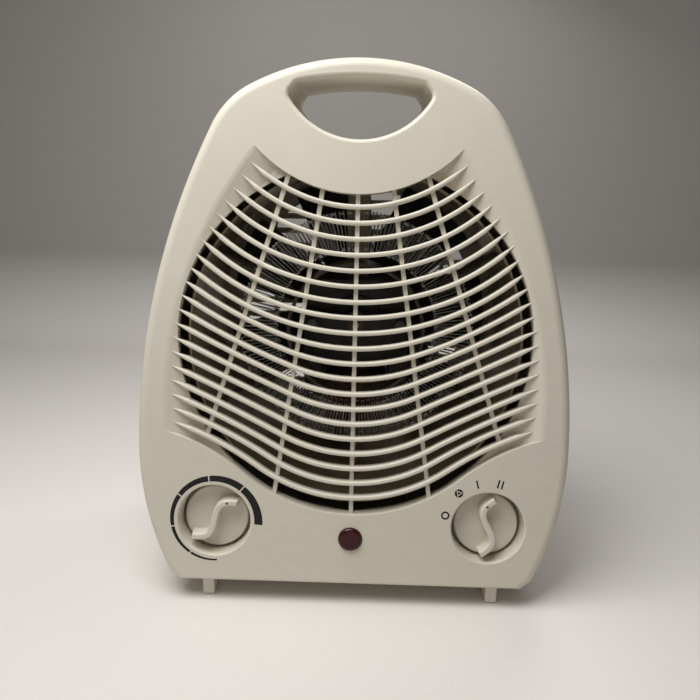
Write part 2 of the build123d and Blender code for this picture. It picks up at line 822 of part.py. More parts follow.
# Indicator lens and the neon lamp in its cup
lamp_plane = Plane(
    origin=panel.from_local_coords((0, up(lens_height), 0)), x_dir=panel.x_dir, z_dir=panel.z_dir
)
with BuildPart() as lens:
    with BuildSketch(lamp_plane.offset(lens_dome)):
        Circle(lens_radius)
    extrude(amount=-lens_dome - wall)
    fillet(lens.faces().sort_by(Axis((0, 0, 0), panel.z_dir))[-1].edges(), lens_dome)
    with BuildSketch(lamp_plane.offset(-wall)):
        Circle(lens_flange_radius)
    extrude(amount=-lens_flange)
    with BuildSketch(lamp_plane.offset(-wall)):
        Circle(lens_radius)
    extrude(amount=wall - lens_cup_depth)
    with BuildSketch(lamp_plane.offset(-wall)):
        Circle(lamp_radius + seat_clearance)
    extrude(amount=wall - lens_cup_depth, mode=Mode.SUBTRACT)
finish(lens, "indicator_lens")

lamp_front = wall + free_clearance
with BuildPart() as lamp:
    with BuildSketch(lamp_plane.offset(-lamp_front)):
        Circle(lamp_radius)
    extrude(amount=-lamp_length)
    fillet(lamp.faces().sort_by(Axis((0, 0, 0), panel.z_dir))[-1].edges(), lamp_radius / 2)
    with BuildSketch(lamp_plane.offset(-lamp_front - lamp_length)):
        with Locations((-lamp_lead_spread, 0), (lamp_lead_spread, 0)):
            Circle(lamp_lead_radius)
    extrude(amount=-lamp_lead_length)
finish(lamp, "indicator_lamp")

# Air duct: sheet ring between the two shells, its front edge parallel to the panel
vane_middle_y = (vane_front_y + vane_back_y) / 2
with BuildPart() as air_duct:
    with BuildSketch(across(duct_back_y)):
        Circle(duct_radius + duct_wall)
        Circle(duct_radius, mode=Mode.SUBTRACT)
    extrude(amount=body_depth)
    split(bisect_by=panel.offset(-outlet_back - free_clearance), keep=Keep.BOTTOM)
    with BuildSketch(across(duct_ear_y + duct_ear)):
        with PolarLocations(duct_radius + duct_wall / 2, 4, start_angle=45):
            Rectangle(duct_ear_reach + duct_wall / 2, duct_ear_width, align=(Align.MIN, Align.CENTER))
        with PolarLocations(ear_radius, 4, start_angle=45):
            Circle(screw_radius + seat_clearance, mode=Mode.SUBTRACT)
    extrude(amount=duct_ear)
    with BuildSketch(across(vane_middle_y + vane_tongue / 2 + seat_clearance)):
        with PolarLocations(duct_radius, vane_count, start_angle=90):
            Rectangle(2 * duct_wall + 2 * cut_margin, vane_thick + 2 * seat_clearance)
    extrude(amount=vane_tongue + 2 * seat_clearance, mode=Mode.SUBTRACT)
    with BuildSketch(Plane.XY.offset(fan_axis_height)):
        with Locations((0, strap_rivet_y)):
            Circle(rivet_radius + running_clearance)
    extrude(amount=2 * duct_radius, both=True, mode=Mode.SUBTRACT)
finish(air_duct, "air_duct")

with BuildPart() as duct_screws:
    with BuildSketch(across(duct_ear_y)):
        with PolarLocations(ear_radius, 4, start_angle=45):
            Circle(screw_head_radius)
    extrude(amount=screw_head)
    with BuildSketch(across(duct_ear_y)):
        with PolarLocations(ear_radius, 4, start_angle=45):
            Circle(screw_radius)
    extrude(amount=-duct_screw_length)
    with BuildSketch(across(duct_ear_y - screw_head)):
        with PolarLocations(ear_radius, 4, start_angle=45):
            Rectangle(screw_slot_length, screw_slot)
            Rectangle(screw_slot, screw_slot_length)
    extrude(amount=-screw_slot, mode=Mode.SUBTRACT)
finish(duct_screws, "duct_screws")

# Strap that carries the motor across the duct, its tabs riveted to the duct wall
with BuildPart() as motor_strap:
    with BuildSketch(across(strap_back_y)):
        Rectangle(strap_width, 2 * strap_reach)
        Rectangle(2 * core_half_width, bracket_height)
        Circle(strap_pad_radius)
        Circle(bracket_boss_radius + seat_clearance, mode=Mode.SUBTRACT)
        with Locations(*motor_screw_places):
            Circle(motor_screw_radius + seat_clearance, mode=Mode.SUBTRACT)
    extrude(amount=strap_thick)
    with BuildSketch(across(strap_back_y + strap_tab)):
        with Locations((0, strap_reach - strap_thick / 2), (0, strap_thick / 2 - strap_reach)):
            Rectangle(strap_width, strap_thick)
    extrude(amount=strap_tab)
    with BuildSketch(Plane.XY.offset(fan_axis_height)):
        with Locations((0, strap_rivet_y)):
            Circle(rivet_radius + running_clearance)
    extrude(amount=2 * duct_radius, both=True, mode=Mode.SUBTRACT)
finish(motor_strap, "motor_strap")

rivet_inner = strap_reach - strap_thick - rivet_head
rivet_outer = duct_radius + duct_wall + running_clearance
with BuildPart() as strap_rivets:
    for side in (-1, 1):
        with BuildSketch(Plane.XY.offset(fan_axis_height + side * rivet_inner)):
            with Locations((0, strap_rivet_y)):
                Circle(rivet_radius)
        extrude(amount=side * (rivet_outer - rivet_inner))
        with BuildSketch(Plane.XY.offset(fan_axis_height + side * rivet_inner)):
            with Locations((0, strap_rivet_y)):
                Circle(rivet_head_radius)
        extrude(amount=side * rivet_head)
        with BuildSketch(Plane.XY.offset(fan_axis_height + side * rivet_outer)):
            with Locations((0, strap_rivet_y)):
                Circle(rivet_head_radius)
        extrude(amount=side * rivet_head)
finish(strap_rivets, "strap_rivets")

# Shaded pole motor: core, coil, two bearing brackets, rotor and shaft
with BuildPart() as stator_core:
    with BuildSketch(across(stack_back_y)):
        with Locations((0, (core_top - core_bottom) / 2)):
            Rectangle(2 * core_half_width, core_top + core_bottom)
        with Locations((0, -(core_window_top + core_window_bottom) / 2)):
            Rectangle(2 * core_window_half, core_window_bottom - core_window_top, mode=Mode.SUBTRACT)
        Circle(rotor_radius + air_gap, mode=Mode.SUBTRACT)
        with Locations(*motor_screw_places):
            Circle(motor_screw_radius + seat_clearance, mode=Mode.SUBTRACT)
    extrude(amount=stack_thick)
finish(stator_core, "stator_core")

leg_height = core_bottom - core_window_bottom
leg_place = ((stack_front_y + stack_back_y) / 2, fan_axis_height - core_window_bottom - leg_height / 2)
bobbin_half = core_window_half - seat_clearance
bobbin_inner = 2 * seat_clearance
bobbin_outer = bobbin_inner + 2 * bobbin_wall
coil_outer = bobbin_outer + 2 * coil_build
with BuildPart() as coil_bobbin:
    with BuildSketch(Plane.YZ.offset(-bobbin_half)):
        with Locations(leg_place):
            Rectangle(stack_thick + bobbin_outer, leg_height + bobbin_outer)
    extrude(amount=2 * bobbin_half)
    for flange_x in (-bobbin_half, bobbin_half - bobbin_wall):
        with BuildSketch(Plane.YZ.offset(flange_x)):
            with Locations(leg_place):
                Rectangle(stack_thick + coil_outer, leg_height + coil_outer)
        extrude(amount=bobbin_wall)
    with BuildSketch(Plane.YZ.offset(-bobbin_half)):
        with Locations(leg_place):
            Rectangle(stack_thick + bobbin_inner, leg_height + bobbin_inner)
    extrude(amount=2 * bobbin_half, mode=Mode.SUBTRACT)
finish(coil_bobbin, "coil_bobbin")

with BuildPart() as coil_winding:
    with BuildSketch(Plane.YZ.offset(bobbin_wall - bobbin_half)):
        with Locations(leg_place):
            RectangleRounded(
                stack_thick + coil_outer - bobbin_wall, leg_height + coil_outer - bobbin_wall, coil_build / 2
            )
            Rectangle(stack_thick + bobbin_outer, leg_height + bobbin_outer, mode=Mode.SUBTRACT)
    extrude(amount=2 * (bobbin_half - bobbin_wall))
finish(coil_winding, "coil_winding")

for end, face_y, away in (("front", stack_front_y, -1), ("rear", stack_back_y, 1)):
    bridge_y = face_y + away * bracket_standoff
    boss_start = bridge_y - away * bracket_boss_proud
    boss_length = bracket_bridge + 2 * bracket_boss_proud
    with BuildPart() as bracket:
        with BuildSketch(across(face_y)):
            with Locations(*motor_screw_places):
                Rectangle(bracket_foot, bracket_height)
        extrude(amount=-away * bracket_standoff)
        with BuildSketch(across(bridge_y)):
            RectangleRounded(2 * core_half_width, bracket_height, bracket_height / 4)
        extrude(amount=-away * bracket_bridge)
        with BuildSketch(across(boss_start)):
            Circle(bracket_boss_radius)
        extrude(amount=-away * boss_length)
        with BuildSketch(across(boss_start)):
            Circle(bearing_radius + press_clearance)
        extrude(amount=-away * boss_length, mode=Mode.SUBTRACT)
        with BuildSketch(across(face_y)):
            with Locations(*motor_screw_places):
                Circle(motor_screw_radius + seat_clearance)
        extrude(amount=-away * (bracket_standoff + bracket_bridge), mode=Mode.SUBTRACT)
    finish(bracket, f"{end}_motor_bracket")

    with BuildPart() as bearing:
        with BuildSketch(across(boss_start)):
            Circle(bearing_radius)
            Circle(shaft_radius + running_clearance, mode=Mode.SUBTRACT)
        extrude(amount=-away * boss_length)
    finish(bearing, f"{end}_bearing")

nut_face_y = stack_front_y - bracket_standoff - bracket_bridge
with BuildPart() as motor_screws:
    with BuildSketch(across(strap_back_y)):
        with Locations(*motor_screw_places):
            Circle(motor_nut_radius)
    extrude(amount=-screw_head)
    with BuildSketch(across(strap_back_y)):
        with Locations(*motor_screw_places):
            Circle(motor_screw_radius)
    extrude(amount=strap_back_y - nut_face_y + motor_nut + free_clearance)
    with BuildSketch(across(strap_back_y + screw_head)):
        with Locations(*motor_screw_places):
            Rectangle(2 * motor_nut_radius, screw_slot)
    extrude(amount=screw_slot, mode=Mode.SUBTRACT)
finish(motor_screws, "motor_screws")

with BuildPart() as motor_nuts:
    with BuildSketch(across(nut_face_y)):
        with Locations(*motor_screw_places):
            RegularPolygon(motor_nut_radius, 6)
            Circle(motor_screw_radius + running_clearance, mode=Mode.SUBTRACT)
    extrude(amount=motor_nut)
finish(motor_nuts, "motor_nuts")

with BuildPart() as rotor:
    with BuildSketch(across(stack_back_y + rotor_overhang)):
        Circle(rotor_radius)
        Circle(shaft_radius + press_clearance, mode=Mode.SUBTRACT)
    extrude(amount=stack_thick + 2 * rotor_overhang)
finish(rotor, "rotor_core")

with BuildPart() as shaft:
    with BuildSketch(across(shaft_back_y)):
        Circle(shaft_radius)
    extrude(amount=shaft_back_y - shaft_front_y)
    chamfer(shaft.edges().filter_by(GeomType.CIRCLE), shaft_radius / 5)
finish(shaft, "motor_shaft")

# Fan: hub with pitched blades, trimmed to its swept circle
with BuildPart() as fan:
    with BuildSketch(Plane.YZ.offset(fan_hub_radius - blade_root_bury)):
        with Locations((fan_middle_y, fan_axis_height)):
            SlotOverall(blade_root_chord, blade_thick, rotation=90 - blade_root_pitch)
    with BuildSketch(Plane.YZ.offset(fan_radius + blade_root_bury)):
        with Locations((fan_middle_y, fan_axis_height)):
            SlotOverall(blade_tip_chord, blade_thick, rotation=90 - blade_tip_pitch)
    loft(ruled=True)
    blade = fan.part
    fan_line = Axis((0, 0, fan_axis_height), (0, 1, 0))
    add([blade.rotate(fan_line, 360 / blade_count * index) for index in range(1, blade_count)])
    with BuildSketch(across(fan_middle_y + fan_hub_length)):
        Circle(fan_radius)
    extrude(amount=2 * fan_hub_length, mode=Mode.INTERSECT)
    with BuildSketch(across(fan_middle_y + fan_hub_length / 2)):
        Circle(fan_hub_radius)
    extrude(amount=fan_hub_length)
    with BuildSketch(across(fan_middle_y + fan_hub_length)):
        Circle(shaft_radius + press_clearance)
    extrude(amount=2 * fan_hub_length, mode=Mode.SUBTRACT)
finish(fan, "fan_impeller")

# Heating element: radial mica vanes on a sleeve, threaded by two zigzag wires
vane_outer_radius = duct_radius - 2 * seat_clearance
tongue_tip = duct_radius + duct_wall + vane_tongue_reach
notch = wire_width + 2 * wire_notch_clearance
with BuildPart() as sleeve:
    with BuildSketch(across(vane_back_y)):
        Circle(vane_inner_radius - seat_clearance)
        Circle(vane_inner_radius - seat_clearance - sleeve_wall, mode=Mode.SUBTRACT)
    extrude(amount=vane_back_y - vane_front_y)
finish(sleeve, "mica_sleeve")

for index in range(vane_count):
    bearing_angle = 90 + index * 360 / vane_count
    with BuildPart() as vane:
        with BuildSketch(across(vane_back_y)):
            with PolarLocations((vane_inner_radius + vane_outer_radius) / 2, 1, start_angle=bearing_angle):
                Rectangle(vane_outer_radius - vane_inner_radius, vane_thick)
        extrude(amount=vane_back_y - vane_front_y)
        with BuildSketch(across(vane_middle_y + vane_tongue / 2)):
            with PolarLocations((vane_inner_radius + tongue_tip) / 2, 1, start_angle=bearing_angle):
                Rectangle(tongue_tip - vane_inner_radius, vane_thick)
        extrude(amount=vane_tongue)
        for wire_y in wire_planes_y:
            with BuildSketch(across(wire_y + notch / 2)):
                with PolarLocations(wire_outer_radius, 1, start_angle=bearing_angle):
                    Rectangle(notch, vane_thick + 2 * cut_margin)
            extrude(amount=notch, mode=Mode.SUBTRACT)
    finish(vane, f"mica_vane_{index + 1}")

strand_count = vane_count * wire_strands_per_bay
strand_step = 2 * pi / strand_count
centre_line = []
for index in range(strand_count):
    angle = -pi / 2 + (index + 0.5) * strand_step
    outer = wire_outer_radius
    if index in (0, strand_count - 1):
        outer = terminal_radius
    ends = [(outer, angle), (wire_inner_radius, angle)]
    if index % 2:
        ends.reverse()
    centre_line += [Vector(radius * cos(turn), radius * sin(turn)) for radius, turn in ends]


def ribbon_outline(line, width):
    """Corner points of a flat strip of this width along a zigzag line, with mitred corners."""
    near_side = []
    far_side = []
    for place, point in enumerate(line):
        before = (point - line[place - 1]).normalized() if place else None
        after = (line[place + 1] - point).normalized() if place + 1 < len(line) else None
        before = before or after
        after = after or before
        mitre = Vector(-before.Y - after.Y, before.X + after.X)
        reach = width / 2 * mitre.normalized() / cos(before.get_angle(after) * pi / 360)
        near_side.append(point + reach)
        far_side.append(point - reach)
    return near_side + far_side[::-1]


for name, wire_y in zip(("front", "rear"), wire_planes_y):
    with BuildPart() as heating_wire:
        with BuildSketch(across(wire_y + wire_width / 2)):
            with BuildLine():
                Polyline(*ribbon_outline(centre_line, wire_width), close=True)
            make_face()
        extrude(amount=wire_width)
    finish(heating_wire, f"{name}_heating_wire")

# Terminals, cutout and fuse on the upper and lower vanes
with BuildPart() as element_terminals:
    for side in (-1, 1):
        with BuildSketch(Plane.YZ.offset(side * vane_thick / 2)):
            with Locations(*[(wire_y, fan_axis_height - terminal_radius) for wire_y in wire_planes_y]):
                Rectangle(terminal_width, terminal_length)
        extrude(amount=side * terminal_thick)
finish(element_terminals, "element_terminals")

with BuildPart() as thermal_cutout:
    with BuildSketch(Plane.YZ.offset(vane_thick / 2)):
        with Locations((vane_middle_y, fan_axis_height + cutout_seat_radius)):
            Circle(cutout_radius)
    extrude(amount=cutout_deep)
    fillet(thermal_cutout.faces().sort_by(Axis.X)[-1].edges(), rivet_head)
finish(thermal_cutout, "thermal_cutout")

fuse_x = -vane_thick / 2 - fuse_radius - running_clearance
with BuildPart() as thermal_fuse:
    with BuildSketch(across(vane_middle_y + fuse_length / 2)):
        with Locations((fuse_x, cutout_seat_radius)):
            Circle(fuse_radius)
    extrude(amount=fuse_length)
    fillet(thermal_fuse.edges().filter_by(GeomType.CIRCLE), fuse_radius / 3)
finish(thermal_fuse, "thermal_fuse")
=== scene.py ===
"""Looks of a small upright fan heater: cream case, printed dials, bent-wire element and wound motor."""

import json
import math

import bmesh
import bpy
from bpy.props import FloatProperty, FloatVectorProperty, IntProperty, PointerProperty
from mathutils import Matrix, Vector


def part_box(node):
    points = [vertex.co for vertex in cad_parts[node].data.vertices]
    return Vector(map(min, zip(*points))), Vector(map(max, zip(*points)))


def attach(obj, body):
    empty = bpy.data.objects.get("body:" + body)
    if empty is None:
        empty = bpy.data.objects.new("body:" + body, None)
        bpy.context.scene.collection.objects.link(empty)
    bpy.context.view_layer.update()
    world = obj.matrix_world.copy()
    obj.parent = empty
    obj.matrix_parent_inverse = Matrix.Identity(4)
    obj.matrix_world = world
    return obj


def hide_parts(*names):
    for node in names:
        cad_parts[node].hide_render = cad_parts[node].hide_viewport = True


bl_info = {
    "name": "Small Fan Heater",
    "version": (1, 0, 0),
    "blender": (4, 5, 0),
    "location": "View3D > Sidebar > Heater",
    "description": "Finishes, printed marks, heating wires and motor winding of a small fan heater",
    "category": "Object",
}

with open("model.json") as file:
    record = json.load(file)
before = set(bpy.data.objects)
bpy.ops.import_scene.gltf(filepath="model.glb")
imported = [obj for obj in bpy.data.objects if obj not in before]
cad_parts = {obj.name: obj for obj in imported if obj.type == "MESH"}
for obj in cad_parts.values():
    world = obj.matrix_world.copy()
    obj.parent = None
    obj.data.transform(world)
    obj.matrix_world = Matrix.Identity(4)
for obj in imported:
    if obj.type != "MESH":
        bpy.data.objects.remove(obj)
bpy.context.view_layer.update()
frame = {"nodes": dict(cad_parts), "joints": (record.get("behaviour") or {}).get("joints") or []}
joints = {joint["name"]: joint for joint in frame["joints"]}
fan_axis = Vector(joints["fan_spin"]["pos_m"])

# Fixed values: the sensor in millimetres, the others in metres
SENSOR_WIDTH = 36.0
NEAREST_VIEW = 0.01
SAME_PLACE = 0.000001
MERGE_REACH = 0.00002


def tone(name, description, default):
    """Colour that a user can change."""
    return FloatVectorProperty(
        name=name, description=description, default=default, subtype="COLOR", size=3, min=0.0, max=1.0
    )


def size(name, description, default):
    """Length in metres that a user can change."""
    return FloatProperty(
        name=name, description=description, default=default, unit="LENGTH", min=0.0, precision=5
    )


def spot(name, description, default):
    """Place in metres that a user can change."""
    return FloatVectorProperty(
        name=name, description=description, default=default, subtype="TRANSLATION", size=3, precision=5
    )


def power(name, description, default):
    """Power of a light in watts that a user can change."""
    return FloatProperty(name=name, description=description, default=default, unit="POWER", min=0.0)


def tilt(name, description, degrees):
    """Angle that a user can change."""
    return FloatProperty(
        name=name, description=description, default=math.radians(degrees), subtype="ANGLE"
    )


class HeaterColours(bpy.types.PropertyGroup):
    """Colours of the heater's finishes"""

    case: tone("Case", "Cream of the moulded shells", (0.705, 0.655, 0.55))
    case_aged: tone("Aged case", "Slightly yellowed cream in the mottle", (0.67, 0.615, 0.495))
    knob: tone("Knobs", "Cream of the two dials", (0.71, 0.66, 0.56))
    ink: tone("Ink", "Printed scale and marks", (0.011, 0.011, 0.011))
    lens: tone("Lens", "Red of the lamp cover", (0.075, 0.006, 0.007))
    lamp: tone("Lamp", "Glass of the small lamp", (0.55, 0.5, 0.42))
    lamp_tint: tone("Lamp tint", "Orange tint in the lamp's glass", (0.5, 0.25, 0.14))
    sheet: tone("Sheet metal", "Heat-dulled plating of duct and strap", (0.5, 0.44, 0.31))
    sheet_stain: tone("Heat stain", "Brown heat stain on the sheet metal", (0.33, 0.28, 0.19))
    zinc: tone("Zinc", "Bright fasteners, plates, shaft and heat guards", (0.52, 0.53, 0.54))
    brass: tone("Brass", "Contact springs and tabs", (0.58, 0.42, 0.17))
    # Bearings: darkened bronze, partly painted shade for the inside of the case
    bronze: tone("Bronze", "Sintered bearings", (0.13, 0.09, 0.05))
    mica: tone("Mica", "Pressed mica sheet", (0.07, 0.058, 0.04))
    mica_fleck: tone("Mica flecks", "Silvery flakes in the mica", (0.16, 0.135, 0.1))
    wire: tone("Heating wire", "Bright resistance wire", (0.9, 0.88, 0.85))
    # Winding: copper made darker than its own colour, as painted shade for the inside of the case
    copper: tone("Winding", "Enamelled copper wire", (0.16, 0.05, 0.02))
    # Core: near-black as painted shade for the dark inside of the case
    core: tone("Core steel", "Blackened motor sheets", (0.035, 0.034, 0.033))
    nylon: tone("Bobbin", "White nylon of the bobbin", (0.6, 0.58, 0.52))
    fan: tone("Fan", "Black plastic of the fan", (0.018, 0.018, 0.019))
    # On the motor brackets this black is painted shade for the dark inside of the case
    black: tone("Black", "Switch bodies, motor brackets and cord bush", (0.022, 0.022, 0.023))
    spindle: tone("Spindles", "Plastic of the dial spindles", (0.5, 0.48, 0.43))
    floor: tone("Floor", "Pale table top", (0.8, 0.765, 0.725))
    wall: tone("Backdrop", "Grey wall behind the table", (0.36, 0.345, 0.325))
    sky: tone("Even light", "Colour of the light from all sides", (1.0, 0.985, 0.96))


class HeaterSizes(bpy.types.PropertyGroup):
    """Sizes of the pieces modelled here"""

    scale_radius: size("Scale radius", "Inner radius of the temperature scale", 0.0197)
    scale_thin: size("Scale start", "Width of the scale at its cold end", 0.00075)
    scale_thick: size("Scale end", "Width of the scale at its hot end", 0.004)
    scale_gap: size("Scale gap", "Gap between two steps of the scale", 0.0006)
    mark_radius: size("Mark radius", "Distance of the mode marks from their dial's middle", 0.0227)
    off_radius: size("Off mark radius", "Distance of the off mark from its dial's middle", 0.0217)
    mark_height: size("Mark height", "Height of one mode mark", 0.0041)
    mark_stroke: size("Mark stroke", "Line width of the mode marks", 0.00078)
    print_thick: size("Print thickness", "How far the ink stands on the plastic", 0.00004)
    dot_radius: size("Dot radius", "Radius of the pointer dot on a dial", 0.00055)
    dot_reach: size("Dot reach", "Distance of the pointer dot from the dial's middle", 0.01075)
    wire_radius: size("Wire radius", "Radius of the heating wire", 0.00028)
    wire_inner: size("Inner bends", "Radius of the wire's inner bends about the fan's axis", 0.04)
    wire_outer: size("Outer bends", "Radius of the wire's outer bends about the fan's axis", 0.06)
    wire_tail: size("Tails", "Radius at which the wire's ends meet their tabs", 0.07)
    wire_waver: size("Waver", "How unevenly the wire is bent", 0.0011)
    turn_radius: size("Winding wire", "Radius of the winding's wire", 0.00028)
    turn_corner: size("Winding corner", "Corner radius of one turn of the winding", 0.003)
    hairpins: IntProperty(name="Hairpins", description="Hairpins in one heating wire", default=90, min=12)


class HeaterStage(bpy.types.PropertyGroup):
    """Camera, floor and light"""

    eye: spot("Camera place", "Place of the camera", (0.00414, -0.33597, 0.20758))
    pitch: tilt("Pitch", "Camera tilt down", 15.5)
    yaw: tilt("Yaw", "Camera turn", 1.22)
    roll: tilt("Roll", "Camera roll", 1.1)
    lens: FloatProperty(
        name="Lens", description="Focal length in millimetres", default=33.43, unit="CAMERA", min=1.0
    )
    key_place: spot("Key place", "Place of the overhead light", (-0.15, -0.15, 0.55))
    key_size: size("Key size", "Edge of the overhead light's square", 0.36)
    key_power: power("Key", "Power of the overhead light", 3.0)
    rear_place: spot("Rear place", "Place of the weaker light behind", (0.2, 0.28, 0.54))
    rear_size: size("Rear size", "Edge of the rear light's square", 0.2)
    rear_power: power("Rear", "Power of the rear light", 0.6)
    sky: FloatProperty(name="Sky", description="Strength of the even light", default=0.14, min=0.0)
    floor_edge: size("Floor", "Edge of the square table top", 4.0)
    wall_height: size("Backdrop height", "Height of the backdrop", 1.8)
    wall_back: size("Backdrop", "Distance of the backdrop behind the heater's middle", 0.5)
    wall_rise: size("Backdrop bend", "Height over which the floor bends up into the backdrop", 0.1)


def clear_selection():
    """Leave nothing selected, so that the next tool acts only on its own piece."""
    if bpy.context.object and bpy.context.object.mode != "OBJECT":
        bpy.ops.object.mode_set(mode="OBJECT")
    bpy.ops.object.select_all(action="DESELECT")


def named(name):
    """Name the piece that was just added."""
    piece = bpy.context.object
    piece.name = name
    piece.data.name = name
    return piece


def edit(piece):
    """Open one piece for editing with all of it selected."""
    clear_selection()
    piece.select_set(True)
    bpy.context.view_layer.objects.active = piece
    bpy.ops.object.mode_set(mode="EDIT")
    bpy.ops.mesh.select_mode(type="VERT")
    bpy.ops.mesh.select_all(action="SELECT")


def pick(piece, wanted):
    """Select the points of an open piece that pass a test of their place."""
    mesh = bmesh.from_edit_mesh(piece.data)
    for vert in mesh.verts:
        vert.select_set(bool(wanted(vert.co)))
    mesh.select_flush_mode()
    bmesh.update_edit_mesh(piece.data)


def open_sheet(name):
    """Add an empty piece and leave it open for drawing."""
    clear_selection()
    bpy.ops.mesh.primitive_plane_add(size=1.0)
    sheet = named(name)
    edit(sheet)
    bpy.ops.mesh.delete(type="VERT")
    return sheet


def close():
    """Merge the open piece's doubles, turn every face outwards and leave editing."""
    bpy.ops.mesh.select_all(action="SELECT")
    bpy.ops.mesh.remove_doubles(threshold=MERGE_REACH)
    bpy.ops.mesh.normals_make_consistent(inside=False)
    bpy.ops.object.mode_set(mode="OBJECT")


def apply_place(piece):
    """Put the piece's place into its mesh."""
    clear_selection()
    piece.select_set(True)
    bpy.context.view_layer.objects.active = piece
    bpy.ops.object.transform_apply(location=True, rotation=True, scale=True)


def apply_modifier(piece, kind, **settings):
    """Add one modifier and apply it at once."""
    clear_selection()
    piece.select_set(True)
    bpy.context.view_layer.objects.active = piece
    modifier = piece.modifiers.new(kind.title(), kind)
    for setting, value in settings.items():
        setattr(modifier, setting, value)
    bpy.ops.object.modifier_apply(modifier=modifier.name)


def settle(piece, body, material):
    """Give a finished piece its body, its finish and its material."""
    if not piece.data.polygons:
        raise RuntimeError(f"{piece.name} has no faces")
    piece.data.materials.clear()
    piece.data.materials.append(material)
    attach(piece, body)


def dress(material, *names):
    """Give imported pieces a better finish."""
    for name in names:
        piece = frame["nodes"][name]
        if not piece.material_slots:
            piece.data.materials.append(material)
        for slot in piece.material_slots:
            slot.material = material


def dial_face(joint_name):
    """Place of a dial's face: X to the right, Y up the panel, Z out of it."""
    joint = joints[joint_name]
    outward = -Vector(joint["axis"]).normalized()
    across = Vector((1.0, 0.0, 0.0))
    upward = outward.cross(across)
    place = Matrix((across, upward, outward)).transposed().to_4x4()
    place.translation = Vector(joint["pos_m"])
    return place


def shade(colour, share):
    """Colour made darker or paler by a share."""
    return tuple(share * part for part in colour)


def dusted(colour, dust):
    """Colour with a little grey dust on it."""
    return tuple(part + dust for part in colour)


class Finish:
    """One material under construction, on object coordinates."""

    def __init__(self, name, colour, roughness, metallic=0.0):
        self.material = bpy.data.materials.new(name)
        self.material.use_nodes = True
        self.tree = self.material.node_tree
        self.shader = self.tree.nodes["Principled BSDF"]
        self.shader.inputs["Base Color"].default_value = (*colour, 1.0)
        self.shader.inputs["Roughness"].default_value = roughness
        self.shader.inputs["Metallic"].default_value = metallic
        self.material.diffuse_color = (*colour, 1.0)
        self.colour = tuple(colour)
        self.places = self.tree.nodes.new("ShaderNodeTexCoord").outputs["Object"]
        self.normal = None

    def node(self, kind, **inputs):
        """Add one node and set its constants."""
        made = self.tree.nodes.new(kind)
        for name, value in inputs.items():
            made.inputs[name.replace("_", " ")].default_value = value
        return made

    def link(self, source, target):
        """Join one node's output to another's input."""
        self.tree.links.new(source, target)

    def noise(self, scale, detail):
        """Cloudy pattern whose size is 1 / scale metres."""
        cloud = self.node("ShaderNodeTexNoise", Scale=scale, Detail=detail)
        self.link(self.places, cloud.inputs["Vector"])
        return cloud.outputs["Fac"]

    def span(self, source, low, high, start=0.3, end=0.7):
        """Map a pattern onto a range of values."""
        reach = self.node("ShaderNodeMapRange")
        reach.inputs["From Min"].default_value = start
        reach.inputs["From Max"].default_value = end
        reach.inputs["To Min"].default_value = low
        reach.inputs["To Max"].default_value = high
        self.link(source, reach.inputs["Value"])
        return reach.outputs["Result"]

    def drift(self, other, share):
        """Let the colour go over to another one by a share between 0 and 1."""
        blend = self.tree.nodes.new("ShaderNodeMix")
        blend.data_type = "RGBA"
        own, next_colour = [socket for socket in blend.inputs if socket.type == "RGBA"]
        own.default_value = (*self.colour, 1.0)
        next_colour.default_value = (*other, 1.0)
        target = self.shader.inputs["Base Color"]
        if target.is_linked:
            self.link(target.links[0].from_socket, own)
        self.link(share, blend.inputs["Factor"])
        self.link([socket for socket in blend.outputs if socket.type == "RGBA"][0], target)
        return self

    def mottle(self, other, scale, amount, start=0.35, end=0.65):
        """Cloudy patches of another colour."""
        return self.drift(other, self.span(self.noise(scale, detail=4.0), 0.0, amount, start, end))

    def uneven_gloss(self, low, high, scale):
        """Vary the roughness over the surface."""
        patches = self.span(self.noise(scale, detail=4.0), low, high)
        self.link(patches, self.shader.inputs["Roughness"])
        return self

    def relief(self, source, distance, strength=1.0):
        """Raise the surface by a pattern, on top of any relief it has."""
        bump = self.node("ShaderNodeBump", Strength=strength, Distance=distance)
        self.link(source, bump.inputs["Height"])
        if self.normal:
            self.link(self.normal, bump.inputs["Normal"])
        self.normal = bump.outputs["Normal"]
        self.link(self.normal, self.shader.inputs["Normal"])
        return self

    def grain(self, scale, distance, strength):
        """Fine surface grain."""
        return self.relief(self.noise(scale, detail=2.0), distance, strength)

    def bands(self, direction, scale, distance):
        """Even ridges along one axis, as of stacked sheets."""
        wave = self.node("ShaderNodeTexWave", Scale=scale)
        wave.bands_direction = direction
        self.link(self.places, wave.inputs["Vector"])
        return self.relief(wave.outputs["Fac"], distance)

    def polish(self, coat, coat_roughness):
        """Clear gloss over the colour."""
        self.shader.inputs["Coat Weight"].default_value = coat
        self.shader.inputs["Coat Roughness"].default_value = coat_roughness
        return self


def moulded_cream(name, colour, aged):
    """Satin moulded plastic with a fine spark grain and a little yellowing."""
    made = Finish(name, colour, roughness=0.42)
    made.mottle(aged, scale=14.0, amount=0.55)
    made.mottle(shade(colour, 0.93), scale=160.0, amount=0.35)
    made.uneven_gloss(low=0.36, high=0.5, scale=45.0)
    made.grain(scale=2600.0, distance=0.00004, strength=0.5)
    made.grain(scale=320.0, distance=0.00005, strength=0.25)
    made.shader.inputs["Subsurface Weight"].default_value = 0.06
    made.shader.inputs["Subsurface Radius"].default_value = (0.002, 0.0015, 0.001)
    return made.material


def plated_steel(name, colour, stain, roughness=0.42):
    """Plated sheet steel, dulled and stained by heat."""
    made = Finish(name, colour, roughness, metallic=0.3)
    made.mottle(stain, scale=45.0, amount=0.8)
    made.uneven_gloss(low=roughness - 0.1, high=roughness + 0.15, scale=120.0)
    made.grain(scale=900.0, distance=0.00003, strength=0.5)
    return made.material


